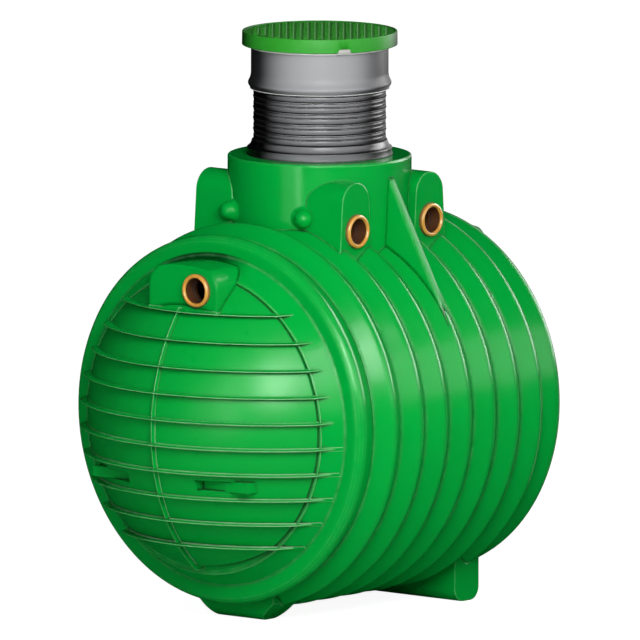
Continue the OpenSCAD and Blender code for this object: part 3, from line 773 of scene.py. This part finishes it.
# %% Fins and spines
FIN_COUNT, FIN_PITCH, FIN_HEIGHT = 10, 0.1135, 0.033
FIN_FULL_TO, FIN_ENDS, FIN_STEPS = 0.672, 0.718, 45
BESIDE_HOUSING_FROM, STEP_OFF = 0.45, 1e-4
SPINE_HEIGHT, SPINE_FOOT, SPINE_TOP = 0.020, -0.640, 0.526
SPINE_FULL_TO, SPINE_ENDS, SPINE_STEPS, SPINE_SCALE = 0.640, 0.668, 80, 0.9
ENDS = (("front", -1), ("rear", 1))
for end, side in ENDS:
    for k in range(FIN_COUNT):
        z = (k - (FIN_COUNT - 1) / 2) * FIN_PITCH
        reach = math.sqrt(FIN_ENDS ** 2 - z * z)
        stations = [reach * math.sin(math.pi / 2 * i / FIN_STEPS)
                    for i in range(-FIN_STEPS, FIN_STEPS + 1)]
        if z > BESIDE_HOUSING_FROM:
            stations += [s * (HOUSING_HALF + d) for s in (-1, 1) for d in (-STEP_OFF, STEP_OFF)]
        fin = rib_over_skin(f"{end}_fin_{k + 1:02d}", [(x, z) for x in sorted(stations)], (0, 1),
                            FIN_HEIGHT, FIN_FULL_TO, FIN_ENDS, side=side)
        if k == 0:
            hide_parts(end + "_fins")
    stations = [SPINE_FOOT + (SPINE_TOP - SPINE_FOOT) * i / SPINE_STEPS
                for i in range(SPINE_STEPS + 1)]
    spine = rib_over_skin(end + "_spine_rib", [(0, z) for z in stations], (1, 0),
                          SPINE_HEIGHT, SPINE_FULL_TO, SPINE_ENDS, scale=SPINE_SCALE, side=side)
    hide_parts(end + "_spine")
    print(end, "end has", FIN_COUNT, "fins and a spine")

# %% [markdown]
# ## Lip beads and lifting lugs
#
# A thin bead runs round the lip of each domed end, where the two halves of
# the mould met.  The lifting lugs on the neck are blunt knobs that grow out
# of the wall with a wide fillet, so that a strap doesn't cut them off.  Both
# are turned parts: a bead lies in the lip's circle, and a lug points outward.

# %% Lip beads
BEAD_SECTION = [(0.0045, -0.002), (0.0030, 0.0018), (0.0, 0.0030),
                (-0.0030, 0.0018), (-0.0045, -0.002)]
bead_outline = [(LIP_RADIUS + widen, raise_by) for widen, raise_by in BEAD_SECTION]
for end, side in ENDS:
    on_lip = Matrix((
        (1, 0, 0, 0),
        (0, 0, side, side * LIP_OUT),
        (0, 1, 0, AXIS_HEIGHT),
        (0, 0, 0, 1),
    ))
    mesh_object(end + "_lip_bead", *turned(bead_outline, on_lip, 160), fin_green, "tank",
                "moulded_green", sharp_angle=60)
print("lip beads made")

# %% Lifting lugs
LUG_RADIUS, LUG_TIP, LUG_FLARE = 0.040, 0.462, 0.092
LUG_FLARE_ENDS, LUG_ROOT = 0.385, 0.360
LUG_FLARE_POWER = 2.2
LUG_ROUND_STEPS, LUG_FLARE_STEPS = 12, 8
LUG_TURN = math.radians(30)

shoulder = LUG_TIP - LUG_RADIUS
lug_outline = [Vector((0.0, LUG_TIP))]
for k in range(1, LUG_ROUND_STEPS + 1):
    a = math.pi / 2 * k / LUG_ROUND_STEPS
    lug_outline.append(Vector((LUG_RADIUS * math.sin(a), LUG_TIP - LUG_RADIUS * (1 - math.cos(a)))))
for k in range(1, LUG_FLARE_STEPS + 1):
    t = k / LUG_FLARE_STEPS
    lug_outline.append(Vector((LUG_RADIUS + (LUG_FLARE - LUG_RADIUS) * t ** LUG_FLARE_POWER,
                               shoulder - (shoulder - LUG_FLARE_ENDS) * t)))
lug_outline += [Vector((LUG_FLARE, LUG_ROOT)), Vector((0.0, LUG_ROOT))]
for node_name in [n for n in nodes if n.endswith("_lug")]:
    box_low, box_high = (Vector(c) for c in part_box(node_name))
    middle = (box_low + box_high) / 2
    outward = Vector((math.copysign(math.sin(LUG_TURN), middle.x),
                      math.copysign(math.cos(LUG_TURN), middle.y), 0))
    turn_out = outward.to_track_quat("Z", "Y").to_matrix().to_4x4()
    place_at = Matrix.Translation((0, 0, middle.z)) @ turn_out
    lug = mesh_object(node_name + "_moulded", *turned(lug_outline, place_at, 64), soft_green,
                      "tank", "moulded_green", sharp_angle=80)
    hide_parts(node_name)
    print(node_name, "made")

# %% [markdown]
# ## Riser
#
# The riser is a corrugated black pipe.  Each wave has a broad flat band, a
# narrow groove, a thin band and a sharp little lip that catches the light.
# It stands in a flared collar.  The waves are written down once, as heights
# within one pitch, and repeated up the pipe.

# %% Riser and its collar
collar_low, collar_high = (Vector(c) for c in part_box("riser_collar"))
riser_low, riser_high = (Vector(c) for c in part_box("riser_tube"))
RISER_GROOVE, RISER_BORE = 0.283, 0.276
SHAFT_SEGMENTS = 160
WAVE = 0.048
ONE_WAVE = [
    (0.0, 0.2830), (0.0015, 0.2875), (0.004, 0.2893), (0.019, 0.2898),
    (0.022, 0.2890), (0.0235, 0.2845), (0.0265, 0.2838), (0.028, 0.2865),
    (0.030, 0.2885), (0.0385, 0.2890), (0.0405, 0.2882), (0.0415, 0.2862),
    (0.0425, 0.2885), (0.0435, 0.2915), (0.0450, 0.2920), (0.0465, 0.2912), (0.0472, 0.2870),
]
foot_z = collar_low.z
wave_start = collar_high.z
wave_count = int((riser_high.z - wave_start) / WAVE)
riser_outline = [Vector((RISER_BORE, riser_low.z)), Vector((RISER_GROOVE, riser_low.z)),
                 Vector((RISER_GROOVE, wave_start - 0.0002))]
for k in range(wave_count):
    riser_outline += [Vector((r, wave_start + k * WAVE + z)) for z, r in ONE_WAVE]
riser_outline += [Vector((RISER_GROOVE, wave_start + wave_count * WAVE)),
                  Vector((RISER_GROOVE, riser_high.z)), Vector((RISER_BORE, riser_high.z))]
riser_pipe = mesh_object("riser_pipe", *turned(riser_outline, Matrix(), SHAFT_SEGMENTS),
                         riser_black, "tank", "riser_black")
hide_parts("riser_tube")

# Radius, height over the collar's foot and rounding of each corner.
COLLAR_CORNERS = [
    (RISER_GROOVE, 0.0, 0), (0.3190, 0.0, 0.0015), (0.3190, 0.0045, 0.0015),
    (0.3165, 0.0060, 0.001), (0.3165, 0.0270, 0.003), (0.3175, 0.0300, 0.001),
    (0.3160, 0.0330, 0.002), (0.3060, 0.0390, 0.006), (0.3000, 0.0500, 0.006),
    (0.2960, 0.0640, 0.002), (0.2930, 0.0660, 0.001), (RISER_GROOVE, 0.0660, 0),
]
collar_outline = rounded_outline([(r, foot_z + up, rounding) for r, up, rounding in COLLAR_CORNERS])
riser_foot = mesh_object("riser_foot", *turned(collar_outline, Matrix(), SHAFT_SEGMENTS),
                         riser_black, "tank", "riser_black")
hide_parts("riser_collar")
print("riser with", wave_count, "waves")

# %% [markdown]
# ## Sleeve
#
# The grey sleeve slides over the riser.  Its lower end is swollen into a bead
# and ends in a pale lip.  A pale seal runs round it just under the lid.  Their
# pale grey also paints the highlight line along these thin rims.  All three are
# turned, and they ride on the sleeve so that they move with it.

# %% Sleeve, lip and seal
sleeve_high = Vector(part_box("sleeve_tube")[1])
bead_low, bead_high = (Vector(c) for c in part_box("sleeve_bead"))
SLEEVE_RADIUS = sleeve_high.x
SLEEVE_BORE = SLEEVE_RADIUS - 0.004
BEAD_RADIUS = bead_high.x
LINING_RADIUS, LINING_HEIGHT = 0.2925, 0.060
LIP_INNER, LIP_OUTER, LIP_HEIGHT = 0.2960, 0.3045, 0.003
BEAD_FROM, BEAD_AT, BEAD_TO = 0.002, 0.024, 0.056
SEAL_RADIUS, SEAL_FROM, SEAL_TO = 0.3050, -0.011, -0.003

low_z = bead_low.z
sleeve_outline = rounded_outline([
    (SLEEVE_BORE, sleeve_high.z, 0.001), (SLEEVE_BORE, low_z + LINING_HEIGHT, 0.001),
    (LINING_RADIUS, low_z + LINING_HEIGHT, 0.001), (LINING_RADIUS, low_z + BEAD_FROM, 0.001),
    (SLEEVE_RADIUS + 0.001, low_z + BEAD_FROM, 0.001), (BEAD_RADIUS, low_z + BEAD_AT, 0.010),
    (SLEEVE_RADIUS, low_z + BEAD_TO, 0.030), (SLEEVE_RADIUS, sleeve_high.z, 0.001),
], steps=6)
sleeve = mesh_object("sleeve_moulded", *turned(sleeve_outline, Matrix(), SHAFT_SEGMENTS),
                     sleeve_grey, "sleeve", "sleeve_grey")
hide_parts("sleeve_tube", "sleeve_bead")

# Pale rubber, whose light grey is also a painted highlight line.
pale_seal_and_highlight = moulded_plastic(
    "pale_seal_and_highlight", srgb(214, 214, 212), srgb(240, 240, 240), roughness=0.4,
    edge_width=0.001, edge_amount=0.5, peel_size=0.002, peel_height=0.00001)
lip_outline = rounded_outline([
    (LIP_INNER, low_z, 0.001), (LIP_OUTER, low_z, 0.0015),
    (LIP_OUTER, low_z + LIP_HEIGHT, 0.0012), (LIP_INNER, low_z + LIP_HEIGHT, 0.001)])
mesh_object("sleeve_lip", *turned(lip_outline, Matrix(), SHAFT_SEGMENTS), pale_seal_and_highlight,
            "sleeve", "sleeve_grey")
seal_z = lid_low.z
seal_outline = rounded_outline([
    (SLEEVE_RADIUS - 0.001, seal_z + SEAL_FROM, 0.001), (SEAL_RADIUS, seal_z + SEAL_FROM, 0.0015),
    (SEAL_RADIUS, seal_z + SEAL_TO, 0.0015), (SLEEVE_RADIUS - 0.001, seal_z + SEAL_TO, 0.001)])
mesh_object("sleeve_seal", *turned(seal_outline, Matrix(), SHAFT_SEGMENTS), pale_seal_and_highlight,
            "sleeve", "sleeve_grey")
print("sleeve from", round(low_z, 3), "to", round(sleeve_high.z, 3))

# %% [markdown]
# ## Floor and surroundings
#
# A large pale floor reaches past the edges of the picture and keeps the
# tank's shadow.  The surroundings look white in the picture and in
# reflections, but light the tank less than a white sky would.  Light Path
# tells the two apart: it says whether a ray comes straight from the camera,
# from a reflection, or from a matt surface that asks for light.

# %% Floor
FLOOR_REACH = 150.0
FLOOR_BELOW = 0.001
FLOOR_GLOW = 0.93


def seen_directly(tree):
    """1 for rays from the camera, a reflection or glass, and 0 for light that is gathered."""
    path = add(tree, "ShaderNodeLightPath")
    either = add(tree, "ShaderNodeMath",
                 {0: path.outputs["Is Camera Ray"], 1: path.outputs["Is Glossy Ray"]},
                 operation="MAXIMUM")
    return add(tree, "ShaderNodeMath",
               {0: either.outputs[0], 1: path.outputs["Is Transmission Ray"]},
               operation="MAXIMUM").outputs[0]


floor_mesh = bpy.data.meshes.new("floor")
floor_mesh.from_pydata([(x, y, 0.0) for x, y in CORNERS], [], [(0, 1, 2, 3)])
floor = bpy.data.objects.new("floor", floor_mesh)
floor.scale = (FLOOR_REACH, FLOOR_REACH, 1)
floor.location.z = -FLOOR_BELOW
scene.collection.objects.link(floor)

floor_paint = bpy.data.materials.new("floor_white")
floor_paint.use_nodes = True
tree = floor_paint.node_tree
glow = add(tree, "ShaderNodeMath", {0: seen_directly(tree), 1: FLOOR_GLOW}, operation="MULTIPLY")
paint = tree.nodes["Principled BSDF"]
paint.inputs["Base Color"].default_value = srgb(205, 205, 205)
paint.inputs["Roughness"].default_value = 1.0
paint.inputs["Specular IOR Level"].default_value = 0.0
paint.inputs["Emission Color"].default_value = (1, 1, 1, 1)
tree.links.new(glow.outputs[0], paint.inputs["Emission Strength"])
floor_mesh.materials.append(floor_paint)
print("floor reaches", FLOOR_REACH, "m each way")

# %% Surroundings
FILL_STRENGTH = 0.20
world = bpy.data.worlds.new("white_room")
scene.world = world
world.use_nodes = True
tree = world.node_tree
tree.nodes.clear()
strength = add(tree, "ShaderNodeMapRange",
               {"Value": seen_directly(tree), "To Min": FILL_STRENGTH, "To Max": 1.0})
sky = add(tree, "ShaderNodeBackground", {"Color": (1, 1, 1, 1), "Strength": strength.outputs[0]})
add(tree, "ShaderNodeOutputWorld", {"Surface": sky.outputs[0]})
print("surroundings fill with strength", FILL_STRENGTH)

# %% [markdown]
# ## Lamps
#
# A wide key lamp high at the front right and a weaker, low one in front give
# the tank its form.  Glossy plastic also needs something to mirror, so four
# more lamps show in reflections only: one draws the round light on the dome,
# one the upright light on the neck and sleeve, and two the broad light and
# the thin pale line on every rib.  With separate lamps each of these can be
# moved and weighed without changing how bright the tank is.


# %% Lamps
def lamp(name, azimuth, elevation, distance, size, watts, height=None, gloss_only=False):
    """An area lamp that looks at the tank's middle."""
    data = bpy.data.lights.new(name, "AREA")
    data.size, data.energy = size, watts
    if height:
        data.shape, data.size_y = "RECTANGLE", height
    obj = bpy.data.objects.new(name, data)
    a, e = math.radians(azimuth), math.radians(elevation)
    away = Vector((math.sin(a) * math.cos(e), -math.cos(a) * math.cos(e), math.sin(e)))
    obj.location = VIEW_CENTRE + away * distance
    obj.rotation_euler = (-away).to_track_quat("-Z", "Y").to_euler()
    obj.visible_diffuse = not gloss_only
    scene.collection.objects.link(obj)
    print("lamp", name, "of", watts, "W")


lamp("key", azimuth=50, elevation=26, distance=7, size=3.2, watts=420)
lamp("front_fill", azimuth=5, elevation=4, distance=9, size=4.0, watts=120)
lamp("key_sheen", azimuth=38, elevation=19, distance=7, size=2.7, watts=480, gloss_only=True)
lamp("side_sheen", azimuth=14, elevation=12, distance=7, size=0.9, height=4.0, watts=95,
     gloss_only=True)
lamp("rib_sheen", azimuth=95, elevation=17, distance=7.5, size=8.5, height=3.4, watts=400,
     gloss_only=True)
lamp("rib_edge_sheen", azimuth=160, elevation=20, distance=8, size=4.4, height=5.0, watts=760,
     gloss_only=True)

# %% [markdown]
# ## Black cloth
#
# A white room washes out the edges of a glossy thing, since its sides mirror
# the room.  A studio hangs black cloth there, out of the picture.  The cloth
# here is seen by reflections only, so it takes no light away: a tub with a lid
# round the tank, open behind it on the right.  Through that gap the far corner
# of every rib catches a pale line, while a low strip keeps it off the neck.

# %% Black cloth
CLOTH_DISTANCE, CLOTH_TOP, CLOTH_STEPS = 9.5, 9.5, 72
GAP_FROM, GAP_TO = 165, 208
STRIP = (0.42, 1.27)
FLOOR_GAP_FROM = 2.2
CLOTH_ABOVE_FLOOR = 0.0005
cloth_paint = bpy.data.materials.new("black_cloth")
cloth_paint.use_nodes = True
cloth_shader = cloth_paint.node_tree.nodes["Principled BSDF"]
cloth_shader.inputs["Base Color"].default_value = (0, 0, 0, 1)
cloth_shader.inputs["Specular IOR Level"].default_value = 0.0
vertices, faces = [], []


def round_the_tank(step, distance, up):
    """A point of the cloth: distance out, at a step of the full turn."""
    a = 2 * math.pi * step / CLOTH_STEPS
    return (distance * math.sin(a), -distance * math.cos(a), up)


for step in range(CLOTH_STEPS):
    in_gap = GAP_FROM <= 360 * (step + 0.5) / CLOTH_STEPS <= GAP_TO
    low_up, high_up = STRIP if in_gap else (0.0, CLOTH_TOP)
    floor_to = FLOOR_GAP_FROM if in_gap else CLOTH_DISTANCE
    for (near, near_up), (far, far_up) in (
        ((CLOTH_DISTANCE, low_up), (CLOTH_DISTANCE, high_up)),
        ((CLOTH_DISTANCE, CLOTH_TOP), (0.0, CLOTH_TOP)),
        ((0.0, CLOTH_ABOVE_FLOOR), (floor_to, CLOTH_ABOVE_FLOOR)),
    ):
        first = len(vertices)
        vertices += [round_the_tank(step, near, near_up), round_the_tank(step + 1, near, near_up),
                     round_the_tank(step + 1, far, far_up), round_the_tank(step, far, far_up)]
        faces.append((first, first + 1, first + 2, first + 3))
cloth_mesh = bpy.data.meshes.new("black_cloth")
cloth_mesh.from_pydata(vertices, [], faces)
cloth_mesh.materials.append(cloth_paint)
cloth = bpy.data.objects.new("black_cloth", cloth_mesh)
cloth.visible_camera = cloth.visible_diffuse = False
cloth.visible_shadow = cloth.visible_transmission = False
scene.collection.objects.link(cloth)
print("black cloth of", len(faces), "strips")
scene.view_settings.view_transform = "Standard"
